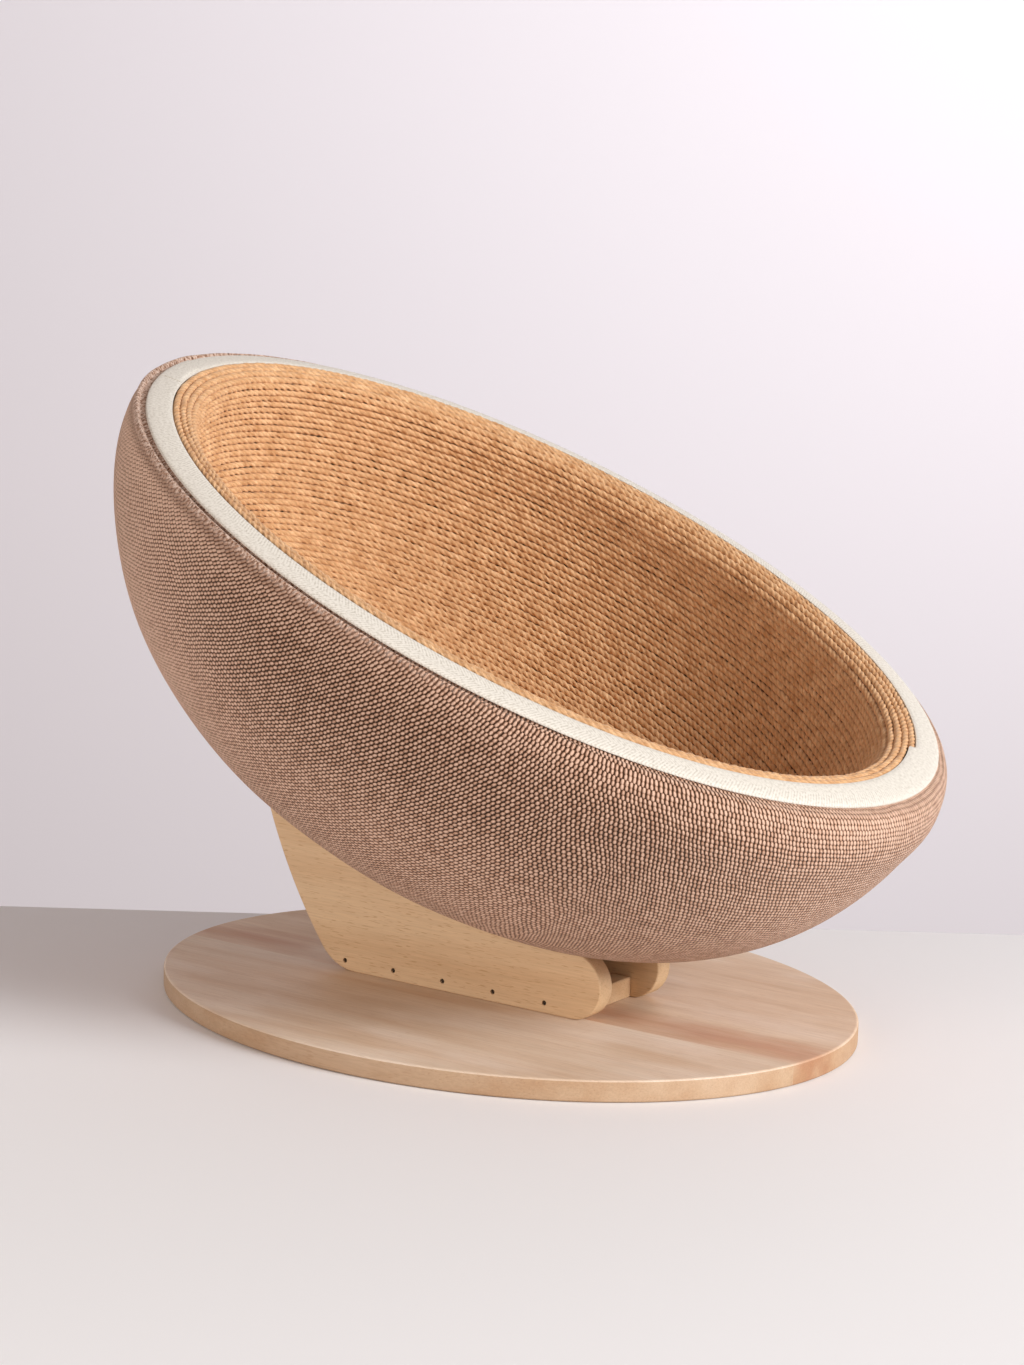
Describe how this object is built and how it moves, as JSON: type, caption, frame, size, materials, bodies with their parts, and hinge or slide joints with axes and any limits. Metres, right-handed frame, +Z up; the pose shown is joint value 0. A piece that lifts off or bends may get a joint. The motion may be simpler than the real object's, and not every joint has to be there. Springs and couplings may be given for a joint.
{
  "type": "cat bed with scratcher",
  "caption": "Oval cat bed: a tilted bowl, knit outside and wound with scratching rope inside, resting in a wooden cradle on an oval wooden base.",
  "frame": {"origin": "centre of the oval base's underside", "axes": "+Z up, +X towards the bowl's low front edge, +Y to the side away from the pictured near side"},
  "size_m": [0.4983, 0.411, 0.363],
  "materials": {
    "base_wood_pale": "sanded, clear matt",
    "base_wood_warm": "sanded, clear matt",
    "cradle_wood": "sanded, clear matt",
    "steel": "plain",
    "core": "moulded padding, covered",
    "knit": "thick knit",
    "band": "woven cotton webbing",
    "rope": "twisted natural fibre"
  },
  "bodies": {
    "stand": {"base_stave_near": "base_wood_pale", "base_stave_far": "base_wood_warm", "cradle_side_near": "cradle_wood", "cradle_side_far": "cradle_wood", "cradle_floor": "cradle_wood", "side_nails_near": "steel", "side_nails_far": "steel", "base_screws": "steel"},
    "bowl": {"bowl_core": "core", "knit_cover": "knit", "rim_band": "band", "rope_wall": "rope", "rope_floor": "rope"}
  },
  "joints": [
    {"name": "bowl_lift", "type": "slide", "parent": "stand", "child": "bowl", "axis": [0, 0, 1], "range_m": [0, 0.15]}
  ]
}
